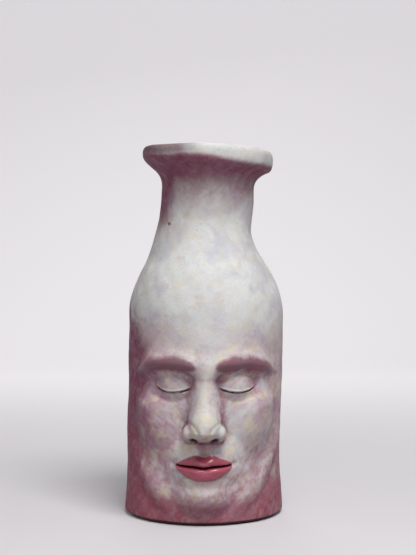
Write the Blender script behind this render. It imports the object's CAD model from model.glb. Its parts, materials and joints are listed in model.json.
import json
import math

import bpy
import numpy as np
from bpy.props import FloatProperty, FloatVectorProperty, PointerProperty
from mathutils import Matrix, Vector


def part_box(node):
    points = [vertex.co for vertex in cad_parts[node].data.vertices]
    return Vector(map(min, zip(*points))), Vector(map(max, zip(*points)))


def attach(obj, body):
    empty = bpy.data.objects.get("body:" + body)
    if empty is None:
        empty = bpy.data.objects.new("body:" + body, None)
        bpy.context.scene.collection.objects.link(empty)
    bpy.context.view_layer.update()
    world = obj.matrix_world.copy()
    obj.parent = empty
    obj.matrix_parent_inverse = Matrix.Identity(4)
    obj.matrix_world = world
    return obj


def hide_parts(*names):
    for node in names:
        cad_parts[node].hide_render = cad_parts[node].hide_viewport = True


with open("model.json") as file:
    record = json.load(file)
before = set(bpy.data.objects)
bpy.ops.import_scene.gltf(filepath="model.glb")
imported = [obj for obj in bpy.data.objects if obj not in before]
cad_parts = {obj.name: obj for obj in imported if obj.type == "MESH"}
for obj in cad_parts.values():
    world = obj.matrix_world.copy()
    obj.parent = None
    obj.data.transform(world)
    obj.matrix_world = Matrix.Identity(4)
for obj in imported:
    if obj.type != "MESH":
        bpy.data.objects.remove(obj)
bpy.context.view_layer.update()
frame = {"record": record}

bl_info = {
    "name": "Face Vase",
    "version": (1, 0, 0),
    "blender": (4, 5, 0),
    "location": "View3D > Sidebar > Face Vase",
    "description": "Models and paints a hand-built bottle vase with a sleeping face, over its packed frame",
    "category": "Add Mesh",
}

MM = 0.001
FULL_TURN = 2 * math.pi
SEED = 7

# Columns round the vessel, closer together on the face than on the back
COLUMNS = 288
FRONT_CROWDING = 0.62

# Spacing of the rows of the outside and of the inside, in millimetres
FACE_ROW = 0.72
PLAIN_ROW = 0.9
BODY_INNER_ROW = 4.0
PLAIN_INNER_ROW = 3.0

# Rows of the base slab's underside, bevel, edge and floor
SLAB_ROWS = (14, 9, 10, 12)

# Rows along the parts of the rim's section, and the number of the first row past the lip
UNDERSIDE_ROWS = 24
LIP_ROWS = 48
THROAT_ROWS = 26
LIP_END = UNDERSIDE_ROWS - 1 + LIP_ROWS

# Segments and rings of the balls that are pressed into applied pieces
LARGE_BALL = (176, 104)
SMALL_BALL = (128, 72)
EYE_BALL = (48, 32)

# Points on the outline of an applied piece, and how far its back lies inside the wall, in millimetres
OUTLINE_POINTS = 720
BACK_DEPTH = 1.6

# Gap between an eyeball and its lids, in millimetres
EYE_GAP = 0.8

# Turn where the front ends, and turns between which relief and paint of the face fade out to the sides
FRONT_END = math.radians(80)
RELIEF_FADE = (math.radians(86), math.radians(68))
PAINT_FADE = (FRONT_END, math.radians(62))

# Clay between the neck's bore and its outside, in metres
NECK_WALL = 0.0073

# Sideways place and height of a small pit in the clay at the front of the neck, in metres
NECK_PIT = (-0.0210, 0.1727)

# Weight of the glossy coat on each material of the vase
GLOSS = {"painted_stoneware": 0.0, "glazed_brows": 0.2, "glazed_lips": 0.8}

# Stage in metres and watts: a floor that bends up into a wall, the lamps, the room and the camera
SWEEP_NEAR = -1.6
SWEEP_DEPTH = 2.6
SWEEP_BEND = 0.5
SWEEP_RISE = 1.6
SWEEP_WIDTH = 4.0
SWEEP_LIT = (0.34, 0.30, 0.33)
SWEEP_SEEN = (0.68, 0.66, 0.68)
SWEEP_GLOW = (0.95, 0.93, 0.95, 1.0)
LAMP_TARGET = (0.0, 0.0, 0.13)
LAMPS = {
    "key": {"location": (0.23, -0.51, 1.08), "size": 0.5, "power": 10.6},
    "fill": {"location": (-0.15, -1.30, 0.45), "size": 0.8, "power": 3.6},
    "back": {"location": (-0.10, 1.15, 1.00), "size": 0.6, "power": 3.0},
}
ROOM_COLOUR = (0.95, 0.95, 0.97, 1.0)
ROOM_LIGHT = 0.22
ROOM_SEEN = 0.72
CAMERA_PLACE = (0.0020, -0.688, 0.147)
CAMERA_PITCH = math.radians(89.5)
CAMERA_LENS = 73.4
SENSOR_WIDTH = 36.0


def low_high(node, axis):
    """Lowest and highest place of a CAD node along an axis, in metres."""
    low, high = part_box(node)
    return low[axis], high[axis]


def bore_radius():
    """Radius of the neck's bore, from the record's own mount, in metres."""
    mount = next(entry for entry in frame["record"]["mounts"] if entry["name"] == "neck_bore")
    return mount["dims"]["r_mm"] * MM


# Sizes and colours that a user would change


def length(name, description, default):
    """Property for a length in metres."""
    return FloatProperty(name=name, description=description, default=default, unit="LENGTH", precision=4)


def colour(name, description, default):
    """Property for a linear colour."""
    return FloatVectorProperty(name=name, description=description, default=default, size=3,
                               subtype="COLOR", min=0.0, max=1.0)


class VesselSizes(bpy.types.PropertyGroup):
    """Sizes of the hand-built bottle."""
    wall: length("Wall", "Thickness of the clay wall", 0.007)
    body_radius: length("Body radius", "Outside radius of the body", low_high("shoulder", 0)[1])
    foot_radius: length("Foot radius", "Outside radius at the foot", low_high("base_slab", 0)[1])
    foot_bevel_width: length("Bevel width", "How far the foot is cut under", 0.0035)
    foot_bevel_height: length("Bevel height", "How high the cut under the foot reaches", 0.0026)
    foot_flare_height: length("Flare height", "Height over which the foot flares out", 0.034)
    slab_top: length("Slab top", "Top of the base slab", low_high("base_slab", 2)[1])
    body_top: length("Body top", "Height where the shoulder starts", low_high("body_wall", 2)[1])
    shoulder_top: length("Shoulder top", "Height of the seam between shoulder and neck",
                         low_high("neck", 2)[0])
    waist: length("Waist", "Height where the shoulder ends in the straight neck", 0.178)
    neck_top: length("Neck top", "Height where the rim starts to flare", low_high("rim", 2)[0])
    rim_top: length("Rim top", "Top of the rim", low_high("rim", 2)[1])
    neck_radius: length("Neck radius", "Outside radius of the neck", bore_radius() + NECK_WALL)
    rim_radius: length("Rim radius", "Outside radius of the lip", low_high("rim", 0)[1])
    lip_thickness: length("Lip thickness", "Half the thickness of the lip, front to back", 0.0043)
    lip_height: length("Lip height", "Half the height of the lip", 0.0053)
    lip_change: length("Lip change", "How much taller the lip is on the viewer's right", 0.0010)
    rim_tilt: length("Rim tilt", "How far the mouth sinks on the viewer's right", 0.0012)
    body_lean: length("Body lean", "How far the body leans to either side of the middle", 0.0007)
    neck_lean: length("Neck lean", "How far the neck leans to the viewer's right", 0.0016)
    neck_sway: length("Neck sway", "How far the foot of the neck bows to the viewer's left", 0.0023)
    shoulder_slack: length("Shoulder slack", "How far the shoulder sinks in halfway up", 0.0010)
    rim_spread: length("Rim spread", "How much further the lip reaches on the viewer's left", 0.0018)
    wobble: length("Wobble", "How far hand pressure moves the wall", 0.0006)


class FaceSizes(bpy.types.PropertyGroup):
    """Sizes of the face: thirds and five eye widths, after the drawing canon."""
    third: length("Third", "A third of the face, from chin to hairline", 0.0415)
    chin_height: length("Chin height", "Height of the chin's base above the table", 0.007)
    eyeball: length("Eyeball radius", "Radius of the eyeball under the lids", 0.0100)
    eyeball_sink: length("Eyeball sink", "Depth of the eyeball's centre inside the wall", 0.0084)
    lid: length("Lid", "Thickness of the lids", 0.0016)
    lash_sag: length("Lash sag", "How far the closed lash line sags", 0.0044)
    socket: length("Socket", "Depth of the eye sockets", 0.0024)
    brow: length("Brow", "Relief of the brow ridge", 0.0046)
    forehead: length("Forehead", "How far the forehead stands out over the brows", 0.0032)
    bridge: length("Bridge", "Relief of the nose between the eyes", 0.0060)
    nose: length("Nose", "Relief of the tip of the nose",
                 -low_high("nose", 1)[0] - low_high("shoulder", 0)[1])
    mouth_width: length("Mouth", "Width of the mouth", 0.033)
    upper_lip: length("Upper lip", "Height of the upper lip", 0.0072)
    lower_lip: length("Lower lip", "Height of the lower lip", 0.0084)
    lip_relief: length("Lip relief", "How far the lips stand out of the mouth's mound", 0.0035)
    mound: length("Mound", "Relief of the mound round the mouth", 0.0052)
    cheek: length("Cheek", "Relief of the cheekbones", 0.0046)
    chin: length("Chin", "Relief of the chin", 0.0064)


class ClayColours(bpy.types.PropertyGroup):
    """Colours of the clay and of the washes and glazes brushed over it."""
    bone: colour("Bone", "Pale clay on the high places", (0.70, 0.72, 0.705))
    lavender: colour("Lavender", "Cool mottling in the clay", (0.52, 0.53, 0.59))
    ochre: colour("Ochre", "Warm mottling in the clay", (0.70, 0.63, 0.48))
    blush: colour("Blush", "Pink mottling in the clay", (0.60, 0.46, 0.45))
    orchid: colour("Orchid", "Thin veil over the face and the sides", (0.460, 0.268, 0.335))
    dusk: colour("Dusk", "Thin grey wash on the neck", (0.395, 0.342, 0.336))
    mauve: colour("Mauve", "Wash that pools in the hollows", (0.228, 0.056, 0.106))
    rose: colour("Rose", "Wash brushed round the foot", (0.295, 0.074, 0.106))
    brow: colour("Brow glaze", "Glaze brushed on the brows", (0.190, 0.072, 0.105))
    lip: colour("Lip glaze", "Glossy rose on the lips", (0.465, 0.082, 0.130))
    lip_shade: colour("Lip shade", "Darker glaze toward the mouth line", (0.185, 0.016, 0.034))
    umber: colour("Umber", "Dark stain in slits and nostrils", (0.035, 0.012, 0.012))


class Millimetres:
    """Reads the lengths of a property group in millimetres."""

    def __init__(self, group):
        self.group = group

    def __getattr__(self, name):
        return getattr(self.group, name) / MM


# Small curves used by the modelling, on arrays


def smooth(low, high, value):
    """Smooth step from 0 at low to 1 at high."""
    share = np.clip((value - low) / (high - low), 0.0, 1.0)
    return share * share * (3 - 2 * share)


def bell(value, width):
    """Round bump, 1 at zero."""
    return np.exp(-(value / width) ** 2)


def pad(share, power=2.0):
    """Soft pad: 1 in the middle and 0 from a share of 1 outwards."""
    return np.clip(1 - share * share, 0.0, 1.0) ** power


def dome(share, power=0.5):
    """Round dome: 1 in the middle, 0 at a share of 1 and steeply below zero outside."""
    inside = 1 - share * share
    return np.sign(inside) * np.abs(inside) ** power


def squared(wave, power):
    """Sine or cosine with a flatter crest, which makes an oval squarer."""
    return np.sign(wave) * np.abs(wave) ** power


def soft_top(first, second, blend):
    """Larger of two forms, run together over a blend width as clay is smoothed into clay."""
    share = np.clip(0.5 + 0.5 * (first - second) / blend, 0.0, 1.0)
    return second + (first - second) * share + blend * share * (1 - share)


def ripples(turn, height, most_laps, wavelength, count, seed):
    """Slow waves over the wall, the same in every run, between about -1 and 1."""
    random = np.random.default_rng(seed)
    total = np.zeros(np.broadcast(turn, height).shape)
    for _ in range(count):
        laps = random.integers(1, most_laps + 1)
        pitch = random.uniform(-1.0, 1.0) * FULL_TURN / wavelength
        total = total + np.sin(laps * turn + pitch * height + random.uniform(0, FULL_TURN))
    return total / math.sqrt(count) * 0.8


class VaseForm:
    """Form of the vase in millimetres: turn is the angle from the front, height is above the table."""

    def __init__(self):
        scene = bpy.context.scene
        self.v = v = Millimetres(scene.face_vase_vessel)
        self.f = f = Millimetres(scene.face_vase_face)
        head = 3.5 * f.third
        self.radius = v.body_radius
        self.eye_width = head * 2 / 3 / 5
        self.nose_base = f.chin_height + f.third
        self.brow_z = f.chin_height + 2 * f.third
        self.eye_z = f.chin_height + head / 2
        self.mouth_z = self.nose_base - f.third / 3
        self.eye_turn = math.asin(self.eye_width / self.radius)
        self.tip_z = self.nose_base + 0.15 * f.third
        self.root_z = self.eye_z + 0.08 * f.third
        self.mouth_half = f.mouth_width / 2
        self.lid_half = 0.60 * self.eye_width
        self.wing_far = 0.38 * self.eye_width
        self.nostril_far = 4.9
        self.nostril_rise = 1.4
        rise = v.waist - v.body_top
        self.swing = 2 * math.atan2(v.body_radius - v.neck_radius, rise)
        self.bend = rise / (2 * math.sin(self.swing))
        self.middle = (v.body_top + v.waist) / 2

    # The plain bottle

    def plain_radius(self, height, inset=0.0):
        """Radius of the straight body, the shoulder and the neck at a height, an inset in from outside."""
        v = self.v
        tight = self.bend - inset
        wide = self.bend + inset
        low = np.clip(height - v.body_top, 0, tight)
        high = np.clip(v.waist - height, 0, wide)
        convex = v.body_radius - self.bend + np.sqrt(tight ** 2 - low ** 2)
        concave = v.neck_radius + self.bend - np.sqrt(wide ** 2 - high ** 2)
        return np.where(height < self.middle - inset * math.sin(self.swing), convex, concave)

    def outer_radius(self, height):
        """Outside radius at a height, with the flare of the foot and the cut under it."""
        v = self.v
        flare = (v.foot_radius - v.body_radius) * (1 - smooth(0, v.foot_flare_height, height))
        under = v.foot_bevel_width * np.clip(1 - height / v.foot_bevel_height, 0, 1) ** 2
        return self.plain_radius(height) + flare - under

    def hand_pressure(self, turn, height):
        """Uneven wall left by hand building: slow waves, finger dents and a steadier foot."""
        slow = ripples(turn, height, 3, 130.0, 5, SEED)
        dents = ripples(turn, height, 9, 34.0, 9, SEED + 1)
        fine = ripples(turn, height, 26, 11.0, 14, SEED + 2)
        steady = 0.25 + 0.75 * smooth(0, 16, height)
        waves = self.v.wobble * (0.9 * slow + 0.5 * dents + 0.16 * fine - 0.4) * steady
        slack = self.v.shoulder_slack * bell(height - self.middle + 7, 9.0)
        return waves - slack - 1.3 * self.v.body_lean * smooth(self.v.shoulder_top, self.v.body_top, height)

    def leaning(self, height):
        """Sideways lean of the outside at a height."""
        v = self.v
        body = v.body_lean * (2 * smooth(0, v.body_top, height) - 1)
        neck = v.neck_lean * smooth(v.body_top + 7, v.neck_top + 10, height)
        return body + neck - v.neck_sway * bell(height - v.waist + 13, 14.0)

    def points(self, turn, height, radius, lean=1.0):
        """Points in metres at a turn, a height and a radius, with a share of the lean."""
        place = [radius * np.sin(turn) + lean * self.leaning(height), -radius * np.cos(turn), height]
        return np.stack(np.broadcast_arrays(*place), axis=-1) * MM

    def inner_unevenness(self, turn, height):
        """Unevenness of the inside, which stays upright round the bore."""
        return 0.25 * ripples(turn, height, 8, 30.0, 7, SEED + 3)

    def wash_under_rim(self, height):
        """Wash that starts thin on the neck and is full under the rim."""
        v = self.v
        thin = smooth(v.waist + 2, v.neck_top + 4, height)
        full = smooth(v.neck_top + 1, v.neck_top + 10, height)
        return 0.50 * thin + 0.50 * full

    # The face, as a relief on the wall

    def sideways(self, turn):
        """Distance from the middle of the face, as seen from the front."""
        return self.radius * np.sin(np.clip(turn, -math.pi / 2, math.pi / 2))

    def brow_line(self, far):
        """Height of the brow's crest at a distance from the middle: a calm arch with a falling tail."""
        share = np.clip((far - 6.0) / 36.0, -0.1, 1.0)
        arch = np.sin(math.pi * np.clip(0.08 + 0.8 * share, 0, 1)) ** 1.2
        return self.brow_z + 0.3 + 3.4 * arch - 5.0 * np.maximum(share, 0) ** 2.2

    def lash_line(self, out):
        """Height of the closed lash line over the middle of the eye, at a distance outwards from it."""
        return 0.6 + 0.05 * out - self.f.lash_sag * (1 - (out / self.lid_half) ** 2)

    def lid_crease(self, out):
        """Height of the crease above the upper lid over the middle of the eye."""
        return 6.1 + 0.05 * out - 0.050 * out ** 2

    def mouth_line(self, side):
        """Height of the line between the lips."""
        return self.mouth_z + 0.6 * (side / self.mouth_half) ** 2 - 0.6 * bell(side, 3.4)

    def lip_heights(self, side):
        """Heights of the upper and the lower lip above and below the line between them."""
        share = np.clip(np.abs(side) / self.mouth_half, 0, 1)
        bow = 1 - 0.17 * bell(side, 2.4) + 0.05 * bell(np.abs(side) - 4.2, 2.0)
        upper = self.f.upper_lip * (1 - share ** 1.7) * bow
        lower = self.f.lower_lip * (1 - share ** 2) ** 0.66 * (1 - 0.08 * bell(side, 3.0))
        return upper, lower

    def eye_frame(self, turn, height):
        """Distance outwards from the middle of the nearer eye, height above it, and reach from the axis."""
        reach = self.radius - self.f.eyeball_sink
        swing = np.abs(turn) - self.eye_turn
        return reach * np.sin(swing), height - self.eye_z, reach * np.cos(swing)

    def lid_dome(self, turn, height, thickness):
        """Relief of a lid: a ball of the eyeball's size and the lid's thickness, seen from the axis."""
        out, up, along = self.eye_frame(turn, height)
        ball = self.f.eyeball + thickness
        inside = ball * ball - out * out - up * up
        return np.where(inside > 0, along + np.sqrt(np.maximum(inside, 0)) - self.radius, -30.0)

    def eyes(self, base, turn, height):
        """Sockets, closed lids with their crease, and the slit along the lash line, on a base relief."""
        f = self.f
        out, up, _ = self.eye_frame(turn, height)
        far = np.abs(self.sideways(turn))
        hollow = np.hypot(out / 15.5, (up - 1.0) / 11.5)
        inner = np.hypot((far - 9.0) / 5.5, (up - 3.0) / 8.0)
        base = base - f.socket * pad(hollow, 1.5) - 1.1 * pad(inner)
        over = up - self.lash_line(out)
        upper = self.lid_dome(turn, height, f.lid)
        lower = self.lid_dome(turn, height, f.lid - 0.7)
        lids = soft_top(lower + (upper - lower) * smooth(-0.25, 0.25, over), base, 5.0)
        half = self.eye_width / 2
        opening = smooth(half + 0.5, half - 2.5, np.abs(out))
        edges = 0.55 * bell(over - 0.9, 0.7) + 0.40 * bell(over + 1.1, 0.8) - 1.6 * bell(over, 0.5)
        margin = edges * opening
        above = up - self.lid_crease(out)
        crease = (0.55 * bell(above - 2.6, 2.2) - 0.55 * bell(above, 0.95)) * smooth(10.8, 7.0, np.abs(out))
        bag = 0.4 * bell(up + 8.6 - 0.045 * out ** 2, 1.3) * smooth(10.0, 6.0, np.abs(out))
        return lids + margin + crease - bag

    def nose(self, base, turn, height):
        """Bridge, tip, wings and nostrils on a base relief."""
        f = self.f
        far = np.abs(self.sideways(turn))
        down = np.clip((self.root_z - height) / (self.root_z - self.tip_z), 0, 1)
        above = smooth(self.brow_z + 11, self.root_z, height)
        bridge = f.bridge * above + (0.84 * f.nose - f.bridge) * down ** 1.15
        under = np.clip((self.tip_z - height) / (self.tip_z - self.nose_base), 0, 1)
        bridge = bridge * np.sqrt(np.maximum(1 - under ** 2, 0))
        spread = 2.6 * smooth(self.root_z + 2, self.tip_z + 4, height)
        foot = 9.2 + spread + 2.8 * smooth(self.root_z, self.brow_z + 6, height)
        flank = np.cos(math.pi / 2 * np.clip(far / foot, 0, 1)) ** 1.45
        form = base + bridge * flank

        below = self.tip_z - self.nose_base + 0.6
        lift = (height - self.tip_z - 0.6) / np.where(height > self.tip_z, 17.0, below)
        form = soft_top(form, f.nose * dome(np.hypot(far / 9.6, lift), 0.7), 4.4)

        wing_z = self.nose_base + 5.0
        wing_share = np.hypot((far - self.wing_far) / 4.4, (height - wing_z) / 5.6)
        form = soft_top(form, 12.4 * dome(wing_share), 3.6)
        crease = 0.65 * bell(wing_share - 1.10, 0.20) * smooth(self.nose_base + 2, self.nose_base + 6, height)
        nostril_out = (far - self.nostril_far - 0.25 * (height - self.nose_base)) / 2.6
        nostril = np.hypot(nostril_out, (height - self.nose_base - self.nostril_rise) / 1.9)
        return form - crease - 5.6 * pad(nostril, 1.2)

    def mouth(self, turn, height):
        """Mound round the mouth, the groove under the nose and the lips."""
        f = self.f
        side = self.sideways(turn)
        far = np.abs(side)
        mound = f.mound * pad(np.hypot(side / 25.0, (height - self.mouth_z - 2.0) / 20.0), 1.4)
        upper, lower = self.lip_heights(side)
        line = self.mouth_line(side)
        top = line + upper
        zone = smooth(-1.2, 1.6, height - top) * smooth(self.nose_base + 0.5, self.nose_base - 2.0, height)
        groove = (0.6 * bell(far - 3.9, 1.5) - 1.3 * bell(side, 2.0)) * zone

        fullness = np.clip(1 - (far / self.mouth_half) ** 2, 0, 1) ** 0.6
        rise = np.clip((height - line) / np.maximum(upper, 0.3), 0, 1)
        fall = np.clip((line - height) / np.maximum(lower, 0.3), 0, 1)
        upper_form = np.sin(math.pi * rise ** 0.62) ** 0.85 * (1 + 0.14 * bell(side, 3.0))
        lobes = 1 + 0.10 * bell(far - 4.8, 4.0) - 0.07 * bell(side, 1.6)
        lower_form = np.sin(math.pi * fall ** 0.72) ** 0.8 * lobes
        lips = f.lip_relief * fullness * np.where(height > line, 0.92 * upper_form, 1.05 * lower_form)
        edge = (0.45 * bell(height - top, 0.75) - 0.35 * bell(line - lower - height, 1.0)) * fullness
        slit = 2.2 * bell(height - line, 0.55) * smooth(1.03, 0.84, far / self.mouth_half)
        corner = 1.3 * bell(np.hypot(far - self.mouth_half - 0.4, 1.25 * (height - line)), 2.6)
        below = 1.9 * bell(side, 12.0) * bell(height - self.mouth_z + 11.6, 3.2)
        return mound + groove + lips + edge - slit - corner - below

    def cheeks(self, turn, height):
        """Cheekbones, the folds beside the nose, the hollows under them and the line of the jaw."""
        far = np.abs(self.sideways(turn))
        arc = self.radius * np.abs(turn)
        beside = arc - 0.68 * self.radius
        middle = self.nose_base + 13.0
        bone = self.f.cheek * pad(np.hypot(beside / 19.0, (height - middle) / 22.0), 1.6)
        arch = 1.1 * bell(height - middle - 6.5 - 0.16 * beside, 4.5) * pad(np.abs(beside - 5) / 22.0)
        fold_at = 11.0 + 0.50 * (self.nose_base + 6.5 - height)
        fold_zone = (smooth(self.mouth_z - 5, self.mouth_z + 6, height)
                     * smooth(self.nose_base + 9, self.nose_base + 4, height))
        fold = 0.7 * bell(far - fold_at, 1.9) * fold_zone
        hollow = 1.4 * bell(beside - 5.0, 11.0) * bell(height - self.mouth_z - 2.0, 10.0)
        temple = 1.0 * bell(beside - 14.0, 9.0) * bell(height - self.brow_z - 4.0, 10.0)
        jaw_line = 9.0 + 0.0115 * arc ** 2
        along = smooth(12, 30, arc) * smooth(76, 56, arc)
        jaw = (1.1 * bell(height - jaw_line, 7.0) - 0.7 * bell(height - jaw_line + 11.0, 5.0)) * along
        return bone + arch + jaw - fold - hollow - temple

    def relief(self, turn, height):
        """Relief of the whole face over the plain wall."""
        f = self.f
        side = self.sideways(turn)
        far = np.abs(side)
        front = smooth(*RELIEF_FADE, np.abs(turn))
        crest = height - self.brow_line(far)
        along = smooth(3.0, 11.0, far) * smooth(44.5, 30.0, far)
        ridge = np.where(crest > 0, bell(crest, 6.5), bell(crest, 4.4))
        brow = along * f.brow * ridge
        fading = smooth(self.v.body_top + 22, self.brow_z + 8, height)
        forehead = f.forehead * bell(side, 28.0) * (fading * smooth(self.brow_z - 8, self.brow_z + 4, height))
        chin = f.chin * pad(np.hypot(side / 18.5, (height - f.chin_height - 10.5) / 14.0), 1.5)
        base = brow + forehead + chin + self.cheeks(turn, height) + self.mouth(turn, height)
        return front * self.nose(self.eyes(base, turn, height), turn, height)

    def skin(self, turn, height, extra=0.0):
        """Points on the outside in metres, with the face and the marks of the hand."""
        radius = self.outer_radius(height) + self.relief(turn, height) + self.hand_pressure(turn, height)
        return self.points(turn, height, radius + extra)

    def skin_normals(self, turn, height):
        """Outward directions of the outside."""
        step = 0.25
        swing = step / self.radius
        across = self.skin(turn + swing, height) - self.skin(turn - swing, height)
        upward = self.skin(turn, height + step) - self.skin(turn, height - step)
        return unit(np.cross(across, upward))

    # Painted layers, as values from 0 to 1

    def hollows(self, turn, height, reach):
        """How much lower the relief is than a ring of given reach around each point, in millimetres."""
        ring = np.zeros(np.shape(turn))
        places = 8
        for lap in np.linspace(0, FULL_TURN, places, endpoint=False):
            swing = reach * math.cos(lap) / self.radius
            ring = ring + self.relief(turn + swing, height + reach * math.sin(lap)) / places
        return ring - self.relief(turn, height)

    def paint(self, turn, height):
        """Where the washes, glazes and stains lie on the outside: one array for each layer."""
        side = self.sideways(turn)
        far = np.abs(side)
        front = smooth(*PAINT_FADE, np.abs(turn))
        narrow = self.hollows(turn, height, 2.2)
        broad = self.hollows(turn, height, 6.0)
        under_nose = smooth(self.tip_z + 1.0, self.nose_base + 1.0, height) * smooth(11.5, 8.0, far)
        under_nose = under_nose * smooth(self.nose_base - 2.5, self.nose_base - 0.5, height)
        pooled = np.clip(0.24 * narrow, 0, 0.4) + np.clip(0.21 * broad, 0, 0.55) + 0.7 * under_nose
        swell = np.clip(-0.30 * broad, 0, 1)

        upper, lower = self.lip_heights(side)
        line = self.mouth_line(side)
        inside = np.minimum(line + upper - height, height - line + lower)
        lip = np.clip(0.5 + inside / 4.0, 0, 1) * smooth(self.mouth_half + 0.6, self.mouth_half - 1.2, far)
        share = np.clip((far - 5.0) / 38.0, 0, 1)
        thick = 5.2 * smooth(-0.10, 0.20, share) * (1 - 0.35 * share) * smooth(1.02, 0.80, share)
        brow = np.clip(0.5 + (thick - np.abs(height - self.brow_line(far) + 0.6)) / 8.0, 0, 1)
        brow = brow * smooth(1.5, 7.0, far)

        out, up, _ = self.eye_frame(turn, height)
        half = self.eye_width / 2
        eye_slit = bell(up - self.lash_line(out), 0.6) * smooth(half + 0.8, half - 1.5, np.abs(out))
        mouth_slit = bell(height - line, 0.6) * smooth(1.03, 0.9, far / self.mouth_half)
        nostril_up = (height - self.nose_base - self.nostril_rise) / 2.0
        nostril = pad(np.hypot((far - self.nostril_far) / 2.7, nostril_up), 0.7)
        foot = smooth(self.v.foot_bevel_height + 0.3, self.v.foot_bevel_height - 1.0, height)
        stain = np.maximum(np.maximum(eye_slit, mouth_slit), nostril) * front
        painted = {"pooled": np.clip(pooled, 0, 1), "swell": swell, "lip": lip, "brow": brow}
        layers = {name: values * front for name, values in painted.items()}
        layers["stain"] = np.maximum(stain, foot)
        layers["under_rim"] = self.wash_under_rim(height)
        return layers


def bezier(start, first, second, end, share):
    """Curve from a start to an end with two handles, at given shares of the way."""
    return ((1 - share) ** 3 * start + 3 * share * (1 - share) ** 2 * first
            + 3 * share ** 2 * (1 - share) * second + share ** 3 * end)


def unit(vectors):
    """Vectors scaled to a length of one."""
    return vectors / np.maximum(np.linalg.norm(vectors, axis=-1, keepdims=True), 1e-12)


# Outlines of the applied pieces, on the wall as seen from the front


class Outline:
    """Closed outline of an applied piece round its middle: sideways distance and height in millimetres."""

    def __init__(self, side, height, middle):
        self.middle = middle
        angle = np.arctan2(height - middle[1], side - middle[0])
        reach = np.hypot(side - middle[0], height - middle[1])
        order = np.argsort(angle)
        self.angle = np.concatenate([angle[order] - FULL_TURN, angle[order], angle[order] + FULL_TURN])
        self.reach = np.tile(reach[order], 3)

    def edge(self, angle):
        """Distance from the middle to the outline in a direction."""
        return np.interp(angle, self.angle, self.reach)

    def depth(self, side, height):
        """How far inside the outline a point is; negative outside."""
        angle = np.arctan2(height - self.middle[1], side - self.middle[0])
        return self.edge(angle) - np.hypot(side - self.middle[0], height - self.middle[1])

    def mirrored(self):
        """The same outline on the other side of the face."""
        angle = np.linspace(-math.pi, math.pi, OUTLINE_POINTS, endpoint=False)
        reach = self.edge(angle)
        side = -(self.middle[0] + reach * np.cos(angle))
        return Outline(side, self.middle[1] + reach * np.sin(angle), (-self.middle[0], self.middle[1]))


def oval(middle, half_width, half_height, tilt=0.0):
    """Oval outline."""
    angle = np.linspace(0, FULL_TURN, OUTLINE_POINTS, endpoint=False)
    side = half_width * np.cos(angle)
    height = half_height * np.sin(angle)
    turned_side = side * math.cos(tilt) - height * math.sin(tilt)
    turned_height = side * math.sin(tilt) + height * math.cos(tilt)
    return Outline(middle[0] + turned_side, middle[1] + turned_height, middle)


def lens(low, high, start, end):
    """Outline between two curves over a stretch of sideways distance."""
    angle = np.linspace(0, math.pi, OUTLINE_POINTS // 2)
    middle_side = (start + end) / 2
    side = middle_side + (end - start) / 2 * np.cos(angle)
    middle_height = float(high(np.array(middle_side)) + low(np.array(middle_side))) / 2
    outline_side = np.concatenate([side, side[::-1]])
    outline_height = np.concatenate([high(side), low(side)[::-1]])
    return Outline(outline_side, outline_height, (middle_side, middle_height))


def applied_outlines(form):
    """Outlines of the applied pieces by node name, with those laid on last at the end."""
    eye = form.eye_width
    lid_half = form.lid_half
    lip_half = 0.985 * form.mouth_half
    nose_half = 9.0
    brow_start = 5.5
    brow_length = 35.5

    def lid_bulge(side):
        """Share of a lid's height, from 1 over the middle of the eye to 0 at its corners."""
        return np.sqrt(np.maximum(1 - ((side - eye) / lid_half) ** 2, 0))

    def lash(side):
        """Height of the closed lash line."""
        return form.eye_z + form.lash_line(side - eye)

    def brow_thickness(side):
        """Half the thickness of the brow."""
        share = np.clip((side - brow_start) / brow_length, 0, 1)
        return 6.4 * np.sqrt(np.maximum(np.sin(math.pi * share ** 0.8), 0))

    def nose_bottom(side):
        """Lower edge of the nose, a little higher at its sides."""
        return form.nose_base - 0.2 + 2.2 * (side / nose_half) ** 2

    def nose_top(side):
        """Upper edge of the nose, narrow between the brows."""
        return form.brow_z + 7.0 - 38.0 * (np.abs(side) / nose_half) ** 2.2

    def lip_top(side):
        """Upper edge of the upper lip."""
        return form.mouth_line(side) + form.lip_heights(side)[0] + 0.5

    def lip_bottom(side):
        """Lower edge of the lower lip."""
        return form.mouth_line(side) - form.lip_heights(side)[1] - 0.5

    laid = {
        "mouth_mound": oval((0.0, form.mouth_z + 1.5), 22.5, 17.0),
        "chin": oval((0.0, form.f.chin_height + 11.2), 14.0, 8.6),
        "cheek": oval((0.63 * form.radius, form.nose_base + 12.5), 10.8, 17.0, math.radians(-8)),
        "brow": lens(lambda side: form.brow_line(side) - brow_thickness(side),
                     lambda side: form.brow_line(side) + brow_thickness(side),
                     brow_start, brow_start + brow_length),
        "lower_eyelid": lens(lambda side: lash(side) - 5.2 * lid_bulge(side), lash,
                             eye - lid_half, eye + lid_half),
        "upper_eyelid": lens(lash, lambda side: lash(side) + 11.5 * lid_bulge(side),
                             eye - lid_half, eye + lid_half),
        "nose": lens(nose_bottom, nose_top, -nose_half, nose_half),
        "nostril_wing": oval((form.wing_far, form.nose_base + 5.2), 4.8, 5.8),
        "upper_lip": lens(form.mouth_line, lip_top, -lip_half, lip_half),
        "lower_lip": lens(lip_bottom, form.mouth_line, -lip_half, lip_half),
    }
    paired = ("cheek", "brow", "lower_eyelid", "upper_eyelid", "nostril_wing")
    outlines = {}
    for name, outline in laid.items():
        if name in paired:
            outlines[name + "_right"] = outline
            outlines[name + "_left"] = outline.mirrored()
        else:
            outlines[name] = outline
    return outlines


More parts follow.
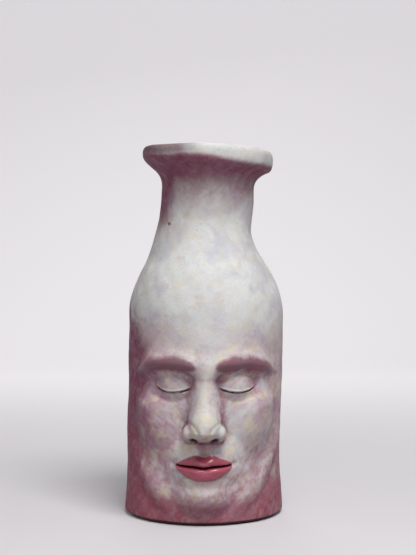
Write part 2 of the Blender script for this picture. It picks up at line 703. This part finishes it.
def tucked(form, turn, height, above, relief):
    """Change of relief that takes a lower piece under the pieces laid over it, and nowhere else."""
    side = form.sideways(turn)
    on_front = np.abs(turn) < FRONT_END
    change = np.zeros(np.shape(side))
    for outline in above:
        depth = np.where(on_front, outline.depth(side, height), -50.0)
        fine = 0.08 * smooth(-0.8, 0.0, depth)
        deep = smooth(0.9, 2.6, depth) * (np.maximum(relief, 0) + 0.9)
        change = np.minimum(change, -fine - deep)
    return change


# Mesh tools: a primitive is added, then pressed into shape


def deselect_all():
    """Leaves nothing selected, so that an operator acts only on what it makes."""
    bpy.ops.object.select_all(action="DESELECT")


def new_ball(name, segments, rings):
    """Ball of clay at the origin, and the places of its vertices."""
    deselect_all()
    bpy.ops.mesh.primitive_uv_sphere_add(segments=segments, ring_count=rings, radius=1.0, location=(0, 0, 0))
    return started(name)


def new_coil(name, segments, sections):
    """Closed coil of clay at the origin, and the places of its vertices."""
    deselect_all()
    bpy.ops.mesh.primitive_torus_add(major_segments=segments, minor_segments=sections,
                                     major_radius=1.0, minor_radius=0.25, location=(0, 0, 0))
    return started(name)


def started(name):
    """Names the primitive that was just added and returns it with its vertices as an array."""
    piece = bpy.context.active_object
    piece.name = name
    piece.data.name = name
    points = np.empty(len(piece.data.vertices) * 3)
    piece.data.vertices.foreach_get("co", points)
    return piece, points.reshape(-1, 3)


def press(piece, points):
    """Moves the vertices of a piece to new places, in metres."""
    piece.data.vertices.foreach_set("co", np.ascontiguousarray(points, dtype=np.float64).ravel())
    piece.data.update()


def store(piece, layers):
    """Keeps painted layers on the vertices of a piece."""
    for name, values in layers.items():
        layer = piece.data.attributes.new(name=name, type="FLOAT", domain="POINT")
        layer.data.foreach_set("value", np.ascontiguousarray(values, dtype=np.float32))


def shade_smooth(piece):
    """Smooth shading for one piece."""
    deselect_all()
    piece.select_set(True)
    bpy.context.view_layer.objects.active = piece
    bpy.ops.object.shade_smooth()


def finish_piece(piece, normals, node, material="painted_stoneware"):
    """Smooth shading that runs on across the seams, the material, and the piece's place in the frame."""
    shade_smooth(piece)
    piece.data.normals_split_custom_set_from_vertices(normals.tolist())
    piece.data.materials.clear()
    piece.data.materials.append(bpy.data.materials[material])
    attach(piece, "root")
    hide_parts(node)


def column_turns():
    """Turn of each column round the vessel, from the back round the front to the back."""
    share = np.arange(COLUMNS) / COLUMNS - 0.5
    return FULL_TURN * share - FRONT_CROWDING * np.sin(FULL_TURN * share)


def column_numbers(points):
    """Column number of each vertex of a ball or coil."""
    return np.rint(np.arctan2(points[:, 1], points[:, 0]) / FULL_TURN * COLUMNS).astype(int) % COLUMNS


def grid_normals(grid, breaks):
    """Outward directions of a ring's columns and sections, one-sided at the breaks between its faces."""
    across = np.roll(grid, -1, axis=0) - np.roll(grid, 1, axis=0)
    upward = np.empty_like(grid)
    for start, end in zip(breaks[:-1], breaks[1:]):
        upward[:, start:end] = np.gradient(grid[:, start:end], axis=1)
    return unit(np.cross(across, upward))


def ring_piece(node, surface, plain, breaks, layers):
    """One ring of the vessel: a coil pressed to a grid of points, column by section."""
    sections = surface.shape[1]
    piece, points = new_coil(node, COLUMNS, sections)
    column = column_numbers(points)
    from_core = np.hypot(points[:, 0], points[:, 1]) - 1.0
    section = np.rint(np.arctan2(points[:, 2], from_core) / FULL_TURN * sections).astype(int) % sections
    press(piece, surface[column, section])
    store(piece, {name: values[column, section] for name, values in layers.items()})
    finish_piece(piece, grid_normals(plain, breaks)[column, section], node)


def wall_ring(form, node, low, high, row_step, inner_step, above=()):
    """Ring of the wall between two heights: the modelled outside and the plain inside."""
    outside = np.linspace(low, high, int((high - low) / row_step) + 1)
    inside = np.linspace(high, low, int((high - low) / inner_step) + 1)
    turn, rows = np.meshgrid(column_turns(), outside, indexing="ij")
    back_turn, back_rows = np.meshgrid(column_turns(), inside, indexing="ij")
    plain = form.skin(turn, rows)
    modelled = plain
    if above:
        modelled = form.skin(turn, rows, tucked(form, turn, rows, above, form.relief(turn, rows)))
    back_radius = form.plain_radius(back_rows, form.v.wall) + form.inner_unevenness(back_turn, back_rows)
    back = form.points(back_turn, back_rows, back_radius, lean=0.0)
    layers = {name: np.concatenate([values, np.zeros(back_rows.shape)], axis=1)
              for name, values in form.paint(turn, rows).items()}
    layers["inside"] = np.concatenate([np.zeros(rows.shape), np.ones(back_rows.shape)], axis=1)
    breaks = [0, len(outside), len(outside) + len(inside)]
    surface = np.concatenate([modelled, back], axis=1)
    ring_piece(node, surface, np.concatenate([plain, back], axis=1), breaks, layers)


# Operators: one for each piece or group of like pieces, and one for the stage


class FACEVASE_OT_glazes(bpy.types.Operator):
    """Mix the clay, wash and glaze materials"""
    bl_idname = "face_vase.glazes"
    bl_label = "Clay and glazes"

    def execute(self, context):
        for name, gloss in GLOSS.items():
            Stoneware(name, context.scene.face_vase_colours).finish(gloss)
        return {"FINISHED"}


class FACEVASE_OT_base_slab(bpy.types.Operator):
    """Press the flat base slab that the wall stands on, cut under at the foot"""
    bl_idname = "face_vase.base_slab"
    bl_label = "Base slab"

    def execute(self, context):
        form = VaseForm()
        v = form.v
        under_rows, bevel_rows, edge_rows, floor_rows = SLAB_ROWS
        under = np.linspace(0, 1, under_rows) ** 0.7 * (v.foot_radius - v.foot_bevel_width)
        bevel = np.linspace(0.1, v.foot_bevel_height, bevel_rows)
        edge = np.concatenate([bevel, np.linspace(v.foot_bevel_height, v.slab_top, edge_rows)[1:]])
        floor = np.linspace(1, 0, floor_rows) ** 0.7 * (v.body_radius - v.wall / 2)
        radius = np.concatenate([under, form.outer_radius(edge), floor])
        height = np.concatenate([np.zeros(len(under)), edge, np.full(len(floor), v.slab_top)])
        last = len(radius) - 1
        piece, points = new_ball("base_slab", COLUMNS, last)
        ring = np.rint((1 - np.arccos(np.clip(points[:, 2], -1, 1)) / math.pi) * last).astype(int)
        turn = column_turns()[column_numbers(points)]
        up = height[ring]
        on_edge = (ring >= len(under)) & (ring < len(under) + len(edge))
        uneven = form.relief(turn, up) + form.hand_pressure(turn, up)
        press(piece, form.points(turn, up, radius[ring] + np.where(on_edge, uneven, 0)))
        layers = {name: values * on_edge for name, values in form.paint(turn, up).items()}
        layers["inside"] = (ring >= len(under) + len(edge)).astype(float)
        store(piece, layers)
        flat = np.where(ring < len(under), -1.0, 1.0)[:, None] * np.array([0.0, 0.0, 1.0])
        side = form.skin_normals(turn, np.maximum(up, 0.3))
        finish_piece(piece, np.where(on_edge[:, None], side, flat), "base_slab")
        return {"FINISHED"}


class FACEVASE_OT_wall(bpy.types.Operator):
    """Coil up the body wall, the shoulder and the neck"""
    bl_idname = "face_vase.wall"
    bl_label = "Body, shoulder and neck"

    def execute(self, context):
        form = VaseForm()
        v = form.v
        above = list(applied_outlines(form).values())
        wall_ring(form, "body_wall", v.slab_top, v.body_top, FACE_ROW, BODY_INNER_ROW, above)
        wall_ring(form, "shoulder", v.body_top, v.shoulder_top, PLAIN_ROW, PLAIN_INNER_ROW)
        wall_ring(form, "neck", v.shoulder_top, v.neck_top, PLAIN_ROW, PLAIN_INNER_ROW)
        return {"FINISHED"}


class FACEVASE_OT_rim(bpy.types.Operator):
    """Flare the rim and roll its hand-pinched lip"""
    bl_idname = "face_vase.rim"
    bl_label = "Rim"

    def execute(self, context):
        form = VaseForm()
        turn = column_turns()[:, None]
        radius, height = rim_section(form, turn)
        turns = turn + 0 * radius
        section = np.arange(radius.shape[1]) + 0 * radius
        inwards = smooth(LIP_END, radius.shape[1] - 1, section)
        outer = form.hand_pressure(turns, height) * (1 - inwards)
        uneven = outer + form.inner_unevenness(turns, height) * inwards
        place = form.points(turns, height, radius + uneven, lean=1 - inwards)
        ring_piece("rim", place, place, [0, radius.shape[1]], rim_paint(form, np.sin(turn), height, section))
        return {"FINISHED"}


def rim_section(form, turn):
    """Radius and height along the rim's section at each turn: the underside, the lip and the throat."""
    v = form.v
    right = np.sin(turn)
    pinch = 0.45 * np.sin(2 * turn + 1.9) + 0.3 * np.sin(5 * turn + 0.4) + 0.2 * np.sin(9 * turn)
    wave = 0.35 * np.cos(3 * turn - 0.6) + 0.25 * np.cos(6 * turn + 0.5) - 0.6
    tall = v.lip_height + v.lip_change * right + 0.2 * np.sin(4 * turn + 0.9)
    thick = v.lip_thickness
    centre_r = v.rim_radius - thick + 0.4 * pinch - 0.4 + v.rim_spread * smooth(-0.2, -1.0, right)
    centre_z = v.rim_top - tall - v.rim_tilt * (1 + right) + 0.5 * wave

    # The lip is an upright oval; the underside rises into it, more steeply on the left
    first = np.radians(-62.0 - 14.0 * right)
    around = first + (math.radians(155.0) - first) * np.linspace(0, 1, LIP_ROWS)
    lip_r = centre_r + thick * squared(np.cos(around), 0.62)
    lip_z = centre_z + tall * squared(np.sin(around), 0.80)
    handle = 6.0 - 2.0 * right
    heading_r = lip_r[:, 1:2] - lip_r[:, :1]
    heading_z = lip_z[:, 1:2] - lip_z[:, :1]
    pull = handle / np.hypot(heading_r, heading_z)
    rising = np.linspace(0, 1, UNDERSIDE_ROWS)[:-1]
    under_r = bezier(v.neck_radius, v.neck_radius, lip_r[:, :1] - pull * heading_r, lip_r[:, :1], rising)
    under_z = bezier(v.neck_top, v.neck_top + 7.5 - 2.5 * right, lip_z[:, :1] - pull * heading_z,
                     lip_z[:, :1], rising)
    falling = np.linspace(0, 1, THROAT_ROWS)[1:]
    bore = v.neck_radius - v.wall
    throat_r = bezier(lip_r[:, -1:], lip_r[:, -1:] - 3.0, bore, bore, falling)
    throat_z = bezier(lip_z[:, -1:], lip_z[:, -1:] - 5.8, v.neck_top + 9.0, v.neck_top, falling)
    radius = np.concatenate([under_r, lip_r, throat_r], axis=1)
    height = np.concatenate([under_z, lip_z, throat_z], axis=1)
    return radius, height


def rim_paint(form, right, height, section):
    """Painted layers of the rim: a wash with an uneven upper edge, and a brown stain on the left."""
    layers = {name: np.zeros(height.shape) for name in ("pooled", "swell", "lip", "brow")}
    edge = form.v.rim_top - 8.2 - 6.6 * right + 2.0 * bell(right - 1, 0.25) - 3.0 * bell(right + 0.72, 0.35)
    below = smooth(edge + 2.4, edge - 2.4, height)
    left_end = np.clip(-0.05 - right, 0, 1)
    far_left = smooth(-0.78, -0.98, right)
    outside = smooth(LIP_END - 8 + 7 * far_left, LIP_END - 20 + 7 * far_left, section)
    brown = 0.60 * smooth(0.3, -0.5, right) + 0.20 * far_left
    layers["stain"] = brown * (1 - 0.7 * below) * outside
    layers["under_rim"] = form.wash_under_rim(height) * np.maximum(below, left_end) * outside
    layers["inside"] = smooth(LIP_END + 2, LIP_END + 16, section)
    return layers


class FACEVASE_OT_face(bpy.types.Operator):
    """Press the applied pieces of the face on the wall, those that lie over others last"""
    bl_idname = "face_vase.face"
    bl_label = "Face"

    def execute(self, context):
        form = VaseForm()
        outlines = applied_outlines(form)
        names = list(outlines)
        for number, name in enumerate(names):
            above = [outlines[other] for other in names[number + 1:]]
            applied_piece(form, name, outlines[name], above)
        return {"FINISHED"}


def applied_piece(form, node, outline, above):
    """Ball of clay pressed on the wall inside an outline and modelled with the face's relief."""
    piece, points = new_ball(node, *(LARGE_BALL if node in ("nose", "mouth_mound") else SMALL_BALL))
    angle = np.arctan2(points[:, 1], points[:, 0])
    reach = np.clip(np.hypot(points[:, 0], points[:, 1]), 0, 1) * outline.edge(angle)
    side = outline.middle[0] + reach * np.cos(angle)
    height = outline.middle[1] + reach * np.sin(angle)
    turn = np.arcsin(np.clip(side / form.radius, -0.99, 0.99))
    relief = form.relief(turn, height)
    front = points[:, 2] > -1e-4
    change = tucked(form, turn, height, above, relief) if above else np.zeros(relief.shape)
    back = np.minimum(relief, 0) - relief - BACK_DEPTH
    press(piece, form.skin(turn, height, np.where(front, change, back)))
    store(piece, {**form.paint(turn, height), "inside": np.zeros(relief.shape)})
    normals = form.skin_normals(turn, height) * np.where(front, 1.0, -1.0)[:, None]
    if node.startswith("brow"):
        finish_piece(piece, normals, node, "glazed_brows")
    elif node.endswith("lip"):
        finish_piece(piece, normals, node, "glazed_lips")
    else:
        finish_piece(piece, normals, node)


class FACEVASE_OT_eyeballs(bpy.types.Operator):
    """Finish the eyeballs that lie under the lids"""
    bl_idname = "face_vase.eyeballs"
    bl_label = "Eyeballs"

    def execute(self, context):
        form = VaseForm()
        reach = form.radius - form.f.eyeball_sink
        for name, turn in (("eyeball_left", -form.eye_turn), ("eyeball_right", form.eye_turn)):
            piece, points = new_ball(name, *EYE_BALL)
            middle = form.points(np.array(turn), np.array(form.eye_z), reach)
            press(piece, middle + points * (form.f.eyeball - EYE_GAP) * MM)
            finish_piece(piece, points, name)
        return {"FINISHED"}


class FACEVASE_OT_stage(bpy.types.Operator):
    """Set up the floor, the lights and the camera"""
    bl_idname = "face_vase.stage"
    bl_label = "Stage"

    def execute(self, context):
        floor_and_backdrop()
        lights()
        camera()
        return {"FINISHED"}


# Materials


class Nodes:
    """Short ways to add and join shader nodes for a material or a world."""

    def __init__(self, owner, output):
        owner.use_nodes = True
        self.tree = owner.node_tree
        self.tree.nodes.clear()
        self.output = self.add(output)

    def add(self, kind, inputs=None, **settings):
        """New node with settings for its properties, and a link or a constant for each given input."""
        node = self.tree.nodes.new(kind)
        for key, value in settings.items():
            setattr(node, key, value)
        for key, value in (inputs or {}).items():
            if isinstance(value, bpy.types.NodeSocket):
                self.tree.links.new(value, node.inputs[key])
            else:
                node.inputs[key].default_value = value
        return node

    def show(self, shader):
        """Joins a shader to the output."""
        self.tree.links.new(shader.outputs[0], self.output.inputs["Surface"])

    def coordinates(self):
        """Object coordinates in metres."""
        return self.add("ShaderNodeTexCoord").outputs["Object"]

    def noise(self, scale, detail=3.0, roughness=0.55, stretch=(1, 1, 1), turned=(0, 0, 0), distortion=0.0):
        """Noise on object coordinates, turned and drawn out along its axes; scale is in waves per metre."""
        laid = {"Vector": self.coordinates(), "Scale": stretch, "Rotation": turned}
        mapping = self.add("ShaderNodeMapping", laid, vector_type="TEXTURE")
        waves = {"Vector": mapping.outputs["Vector"], "Scale": scale, "Detail": detail,
                 "Roughness": roughness, "Distortion": distortion}
        return self.add("ShaderNodeTexNoise", waves).outputs["Fac"]

    def math(self, operation, first, *others):
        """Math nodes that join a value with others, one after another."""
        for other in others:
            first = self.add("ShaderNodeMath", {0: first, 1: other}, operation=operation).outputs[0]
        return first

    def times(self, *values):
        """Product of several values."""
        return self.math("MULTIPLY", *values)

    def sum(self, *values):
        """Sum of several values."""
        return self.math("ADD", *values)

    def less(self, first, second):
        """Difference of two values."""
        return self.math("SUBTRACT", first, second)

    def highest(self, *values):
        """Largest of several values."""
        return self.math("MAXIMUM", *values)

    def spread(self, noise, amount):
        """Noise moved to lie about zero and drawn out by an amount."""
        return self.times(self.less(noise, 0.5), amount)

    def ramp(self, value, low, high, start=0.0, end=1.0):
        """Smooth change of a value between two levels."""
        levels = {"Value": value, "From Min": low, "From Max": high, "To Min": start, "To Max": end}
        return self.add("ShaderNodeMapRange", levels, interpolation_type="SMOOTHSTEP").outputs["Result"]

    def mix(self, share, first, second):
        """Mix of two colours."""
        first, second = (value if isinstance(value, bpy.types.NodeSocket) else (*value, 1.0)
                         for value in (first, second))
        node = self.add("ShaderNodeMix", {"Factor": share, 6: first, 7: second}, data_type="RGBA")
        return node.outputs[2]

    def blend(self, share, first, second):
        """Mix of two numbers."""
        return self.add("ShaderNodeMix", {"Factor": share, 2: first, 3: second}, data_type="FLOAT").outputs[0]

    def layer(self, name):
        """Painted layer kept on the vertices."""
        return self.add("ShaderNodeAttribute", attribute_name=name).outputs["Fac"]

    def axis(self, name):
        """One object coordinate in metres."""
        return self.add("ShaderNodeSeparateXYZ", {"Vector": self.coordinates()}).outputs[name]

    def seen(self):
        """1 for rays from the camera, also through mirrors and glass, and 0 for light on the object."""
        rays = self.add("ShaderNodeLightPath").outputs
        return self.highest(rays["Is Camera Ray"], rays["Is Glossy Ray"], rays["Is Transmission Ray"])


class Stoneware:
    """Material of mottled bone clay with brushed washes, glazed brows and lips, and a fine grog grain."""

    def __init__(self, name, colours):
        self.n = n = Nodes(bpy.data.materials.new(name), "ShaderNodeOutputMaterial")
        self.colours = colours
        self.side, self.back, self.height = n.axis("X"), n.axis("Y"), n.axis("Z")
        self.cloud = n.noise(62.0, 4.0, 0.55, distortion=0.2)
        self.patch = n.noise(135.0, 5.0, 0.62, distortion=0.3)
        self.flush = n.noise(88.0, 4.0, 0.55, turned=(0.7, 0.2, 0.0), distortion=0.2)
        self.fleck = n.noise(420.0, 4.0, 0.7)
        self.smear = n.noise(58.0, 5.0, 0.6, stretch=(1.0, 1.0, 1.3), turned=(0.0, 0.5, 0.0), distortion=0.6)
        self.dabs = n.noise(240.0, 5.0, 0.66, stretch=(1.0, 1.0, 1.6), turned=(0.0, 0.7, 0.0), distortion=0.5)
        self.haze = n.noise(74.0, 5.0, 0.62, turned=(0.3, 0.0, 0.9), distortion=0.3)
        self.grain = n.noise(1150.0, 3.0, 0.7)
        strokes = [n.noise(300.0, 3.0, 0.55, stretch=(1.0, 1.0, 3.5), turned=(0.0, lean, 0.0), distortion=0.4)
                   for lean in (-0.9, 0.9)]
        self.brush = n.blend(n.ramp(self.side, -0.012, 0.012), *strokes)
        self.wavy = n.sum(self.height, n.spread(self.smear, 0.06))
        self.strays = self.stray_strokes()
        self.brow = n.ramp(n.sum(n.layer("brow"), n.times(self.strays, 0.40)), 0.24, 0.74)
        self.lip = n.ramp(n.sum(n.layer("lip"), n.spread(self.patch, 0.35)), 0.38, 0.64)
        self.speck, self.pit = self.pits()

    def stray_strokes(self):
        """Strokes that break up the washes' edges, strongest low on the body, weakest on the shoulder."""
        n = self.n
        strokes = n.sum(n.spread(self.smear, 1.5), n.spread(self.brush, 0.9), n.spread(self.fleck, 0.5))
        low = n.ramp(self.height, 0.080, 0.122, 1.0, 0.25)
        return n.times(strokes, n.sum(low, n.ramp(self.height, 0.168, 0.182, 0.0, 0.38)))

    def pits(self):
        """Scattered specks, and the one pit at the front of the neck."""
        n = self.n
        cells = n.add("ShaderNodeTexVoronoi", {"Vector": n.coordinates(), "Scale": 330.0}, feature="F1")
        speck = n.times(n.ramp(cells.outputs["Distance"], 0.16, 0.08), n.ramp(n.noise(90.0, 2.0), 0.56, 0.66))
        aside = n.math("POWER", n.less(self.side, NECK_PIT[0]), 2.0)
        over = n.math("POWER", n.less(self.height, NECK_PIT[1]), 2.0)
        pit = n.ramp(n.math("POWER", n.sum(aside, over), 0.5), 0.0013, 0.0006)
        return speck, n.times(pit, n.ramp(self.back, 0.001, 0.0))

    def mottled(self):
        """Bare clay: bone white with cool, warm and pink mottling."""
        n, c = self.n, self.colours
        clay = n.mix(n.times(n.ramp(self.cloud, 0.47, 0.68), 0.80), c.bone, c.lavender)
        warm = n.sum(n.times(n.ramp(self.patch, 0.48, 0.68), 0.50), n.times(n.layer("swell"), 0.35))
        clay = n.mix(warm, clay, c.ochre)
        clay = n.mix(n.times(n.ramp(self.flush, 0.52, 0.74), 0.30), clay, c.blush)
        clay = n.mix(n.times(n.ramp(self.fleck, 0.48, 0.70), 0.45), clay, c.ochre)
        clay = n.mix(n.ramp(self.grain, 0.35, 0.75, 0.0, 0.25), clay, c.lavender)
        grey = n.times(n.ramp(self.haze, 0.50, 0.72, 0.0, 0.28), n.ramp(self.height, 0.110, 0.140))
        return n.mix(grey, clay, c.dusk)

    def veiled(self, clay):
        """Thin veil over the body, warm patches on it, and a grey wash on the neck and the rim."""
        n, c = self.n, self.colours
        left = n.ramp(self.side, -0.006, -0.036, 0.28, 0.90)
        veil = n.sum(left, n.ramp(self.side, 0.006, 0.038, 0.0, 0.28), self.strays)
        veil = n.times(n.ramp(veil, -0.20, 1.10), n.ramp(self.wavy, 0.126, 0.088))
        veil = n.less(veil, n.times(n.layer("swell"), 0.20))
        clay = n.mix(n.highest(veil, 0.0), clay, c.orchid)
        warmth = n.times(n.ramp(self.patch, 0.48, 0.66, 0.0, 0.66), n.ramp(self.height, 0.120, 0.095))
        clay = n.mix(warmth, clay, c.ochre)
        grey = n.times(n.ramp(self.height, 0.172, 0.188, 0.0, 0.50), n.ramp(n.layer("inside"), 0.5, 0.0),
                       n.ramp(self.dabs, 0.36, 0.60, 0.80, 1.15), n.ramp(self.side, 0.010, 0.025, 1.0, 0.55),
                       n.ramp(self.height, 0.212, 0.200))
        clay = n.mix(grey, clay, c.dusk)
        return n.mix(n.ramp(self.height, 0.204, 0.211, 0.0, 0.16), clay, c.dusk)

    def foot_wash(self):
        """Wash round the foot, thinner in the middle of the front and at the back, with a ragged edge."""
        n = self.n
        middle = n.times(n.ramp(self.side, -0.034, -0.014), n.ramp(self.side, 0.036, 0.020))
        thin = n.times(n.ramp(self.height, 0.060, 0.0, 0.0, 0.40), n.blend(middle, 1.0, 0.55))
        uneven = n.sum(self.height, n.spread(self.smear, 0.03), n.spread(self.dabs, 0.012))
        full = n.times(n.ramp(uneven, 0.022, 0.005), n.ramp(self.back, 0.034, -0.012, 0.40, 1.0))
        return n.sum(thin, full)

    def flank_wash(self):
        """Wash on the sides of the body: full on the viewer's left, low on the right, fainter at the back."""
        n = self.n
        left = n.ramp(self.side, -0.026, -0.046, 0.0, 1.2)
        right = n.times(n.ramp(self.side, 0.024, 0.046, 0.0, 0.50), n.ramp(self.wavy, 0.060, 0.034))
        below = n.ramp(self.wavy, 0.132, 0.106)
        return n.times(n.sum(left, right), below, n.ramp(self.back, 0.032, -0.008, 0.15, 1.0))

    def neck_wash(self):
        """Wash on the viewer's left of the neck, and a little under the rim on the right."""
        n = self.n
        corner = n.times(n.ramp(self.side, 0.004, 0.026, 0.0, 0.16), n.ramp(self.wavy, 0.180, 0.196))
        ragged = n.sum(self.side, n.spread(self.dabs, 0.012))
        sides = n.sum(n.ramp(ragged, -0.014, -0.026), corner)
        return n.times(sides, n.ramp(self.height, 0.160, 0.186), n.ramp(self.height, 0.208, 0.202),
                       n.ramp(self.back, 0.018, -0.004))

    def washed(self, clay):
        """Plum washes where they were brushed on and where they pooled."""
        n, c = self.n, self.colours
        pooled = n.times(n.layer("pooled"), 0.80)
        region = n.sum(self.foot_wash(), self.flank_wash(), pooled, n.layer("under_rim"), self.neck_wash())
        wiped = n.times(n.layer("swell"), n.ramp(self.height, 0.010, 0.050, 0.08, 0.24))
        wash = n.ramp(n.sum(n.less(region, wiped), self.strays), -0.10, 1.05)
        least = n.ramp(self.height, 0.120, 0.165, 0.78, 0.92)
        wash = n.times(wash, n.blend(n.ramp(self.dabs, 0.36, 0.58), least, 1.0))
        low = n.sum(self.height, n.spread(self.cloud, 0.08))
        tint = n.mix(n.ramp(low, 0.055, 0.015), c.mauve, c.rose)
        thinned = n.sum(self.brush, n.times(self.cloud, 0.6))
        tint = n.mix(n.ramp(thinned, 0.72, 0.98, 0.0, 0.30), tint, c.orchid)
        return n.mix(n.times(wash, 0.97), clay, tint)

    def glazed(self, clay):
        """Glazes on brows and lips, dark stain in slits, a tinted inside, specks and the pit."""
        n, c = self.n, self.colours
        clay = n.mix(n.times(self.brow, 0.90), clay, n.mix(n.ramp(self.patch, 0.42, 0.66), c.brow, c.mauve))
        upper = n.ramp(self.height, 0.0335, 0.0365, 0.0, 0.35)
        lip_depth = n.sum(n.layer("pooled"), n.times(self.patch, 0.5), upper)
        clay = n.mix(self.lip, clay, n.mix(n.ramp(lip_depth, 0.30, 0.95), c.lip, c.lip_shade))
        clay = n.mix(n.ramp(n.layer("stain"), 0.20, 1.0, 0.0, 0.9), clay, c.umber)
        clay = n.mix(n.times(n.layer("inside"), 0.4), clay, c.mauve)
        clay = n.mix(n.times(self.speck, 0.40), clay, c.mauve)
        return n.mix(n.times(self.pit, 0.80), clay, c.mauve)

    def roughness(self):
        """Dry clay, smoother on the brows and smoothest on the lips."""
        n = self.n
        rough = n.blend(n.ramp(self.patch, 0.3, 0.7), 0.55, 0.70)
        rough = n.blend(self.brow, rough, n.ramp(self.fleck, 0.35, 0.6, 0.34, 0.50))
        return n.blend(self.lip, rough, n.ramp(self.fleck, 0.3, 0.7, 0.18, 0.32))

    def grog(self):
        """Bumps of the surface: lumps, combing, grain, brush marks on the brows, specks and the pit."""
        n = self.n
        lumps = n.times(n.noise(170.0, 4.0, 0.6), 0.5)
        combing = n.noise(420.0, 3.0, 0.6, stretch=(1.0, 1.0, 8.0), turned=(0.4, 0.9, 0.0))
        combing = n.times(combing, n.ramp(self.flush, 0.50, 0.62, 0.0, 0.35))
        relief = n.sum(lumps, combing, n.times(self.grain, 0.22), n.times(self.brow, self.brush, 0.4),
                       n.times(self.speck, -0.35), n.times(self.pit, -1.2))
        bump = n.add("ShaderNodeBump", {"Strength": 0.6, "Distance": 0.0009, "Height": relief})
        return bump.outputs["Normal"]

    def finish(self, gloss):
        """Joins the layers in one shader with a given weight of gloss."""
        self.n.show(self.n.add("ShaderNodeBsdfPrincipled", {
            "Base Color": self.glazed(self.washed(self.veiled(self.mottled()))),
            "Roughness": self.roughness(),
            "Normal": self.grog(),
            "Specular IOR Level": 0.20,
            "Coat Weight": gloss,
            "Coat Roughness": 0.14,
        }))


# Stage


def pale_sweep():
    """Material of the sweep: pale to the camera, darker in the light that it throws on the object."""
    material = bpy.data.materials.new("pale_sweep")
    n = Nodes(material, "ShaderNodeOutputMaterial")
    seen = n.seen()
    back = n.axis("Y")
    bare = n.times(seen, n.ramp(back, -0.65, -0.20, 0.45, 1.0))
    glow = n.sum(n.ramp(back, 0.0, 0.9, 0.05, 0.46), n.ramp(back, -0.7, -1.4, 0.0, 0.45))
    n.show(n.add("ShaderNodeBsdfPrincipled", {
        "Base Color": n.mix(bare, SWEEP_LIT, SWEEP_SEEN),
        "Roughness": 0.9,
        "Specular IOR Level": 0.1,
        "Emission Color": SWEEP_GLOW,
        "Emission Strength": n.times(seen, glow),
    }))
    return material


def floor_and_backdrop():
    """Pale sweep: a floor that curves up into a wall behind the vase."""
    deselect_all()
    bpy.ops.mesh.primitive_grid_add(x_subdivisions=2, y_subdivisions=60, size=1.0, location=(0, 0, 0))
    sweep, points = started("sweep")
    curve = SWEEP_BEND * math.pi / 2
    along = (points[:, 1] + 0.5) * (SWEEP_DEPTH + curve + SWEEP_RISE)
    swing = np.clip((along - SWEEP_DEPTH) / SWEEP_BEND, 0, math.pi / 2)
    up = SWEEP_BEND * (1 - np.cos(swing)) + np.maximum(along - SWEEP_DEPTH - curve, 0)
    back = SWEEP_NEAR + np.minimum(along, SWEEP_DEPTH) + SWEEP_BEND * np.sin(swing)
    press(sweep, np.stack([points[:, 0] * SWEEP_WIDTH, back, up], axis=-1))
    shade_smooth(sweep)
    sweep.data.materials.append(pale_sweep())


def soft_box(name, location, size, power):
    """Large soft lamp that faces the vase."""
    light = bpy.data.lights.new(name, "AREA")
    light.shape = "RECTANGLE"
    light.size = light.size_y = size
    light.energy = power
    lamp = bpy.data.objects.new(name, light)
    bpy.context.collection.objects.link(lamp)
    heading = np.array(LAMP_TARGET) - np.array(location)
    lamp.location = location
    lamp.rotation_euler = (math.atan2(math.hypot(heading[0], heading[1]), -heading[2]), 0.0,
                           math.atan2(-heading[0], heading[1]))


def lights():
    """Soft key from above, in front and to the right, weak fill from the left, back lamp and dim room."""
    for name, lamp in LAMPS.items():
        soft_box(name, **lamp)
    world = bpy.data.worlds.new("room")
    n = Nodes(world, "ShaderNodeOutputWorld")
    strength = n.ramp(n.seen(), 0.0, 1.0, ROOM_LIGHT, ROOM_SEEN)
    n.show(n.add("ShaderNodeBackground", {"Color": ROOM_COLOUR, "Strength": strength}))
    bpy.context.scene.world = world


def camera():
    """Camera in front of the vase, level with the foot of the neck, about as the photograph was taken."""
    lens_data = bpy.data.cameras.new("camera")
    lens_data.sensor_fit = "AUTO"
    lens_data.sensor_width = SENSOR_WIDTH
    lens_data.lens = CAMERA_LENS
    eye = bpy.data.objects.new("camera", lens_data)
    bpy.context.collection.objects.link(eye)
    eye.location = CAMERA_PLACE
    eye.rotation_euler = (CAMERA_PITCH, 0.0, 0.0)
    bpy.context.scene.camera = eye
    bpy.context.scene.view_settings.view_transform = "Standard"


OPERATORS = (
    FACEVASE_OT_glazes,
    FACEVASE_OT_base_slab,
    FACEVASE_OT_wall,
    FACEVASE_OT_rim,
    FACEVASE_OT_face,
    FACEVASE_OT_eyeballs,
    FACEVASE_OT_stage,
)


class FACEVASE_PT_panel(bpy.types.Panel):
    """Steps of the build, in order"""
    bl_label = "Face Vase"
    bl_idname = "FACEVASE_PT_panel"
    bl_space_type = "VIEW_3D"
    bl_region_type = "UI"
    bl_category = "Face Vase"

    def draw(self, context):
        for operator in OPERATORS:
            self.layout.operator(operator.bl_idname)


CLASSES = (VesselSizes, FaceSizes, ClayColours, *OPERATORS, FACEVASE_PT_panel)


def register():
    """Registers the classes and the settings."""
    for entry in CLASSES:
        bpy.utils.register_class(entry)
    bpy.types.Scene.face_vase_vessel = PointerProperty(type=VesselSizes)
    bpy.types.Scene.face_vase_face = PointerProperty(type=FaceSizes)
    bpy.types.Scene.face_vase_colours = PointerProperty(type=ClayColours)


def unregister():
    """Takes the settings and the classes away again."""
    del bpy.types.Scene.face_vase_colours
    del bpy.types.Scene.face_vase_face
    del bpy.types.Scene.face_vase_vessel
    for entry in reversed(CLASSES):
        bpy.utils.unregister_class(entry)


def main():
    """Builds the vase and the stage step by step, then notes the sizes."""
    register()
    bpy.ops.face_vase.glazes()
    bpy.ops.face_vase.base_slab()
    bpy.ops.face_vase.wall()
    bpy.ops.face_vase.rim()
    bpy.ops.face_vase.face()
    bpy.ops.face_vase.eyeballs()
    bpy.ops.face_vase.stage()


if __name__ == "__main__":
    main()
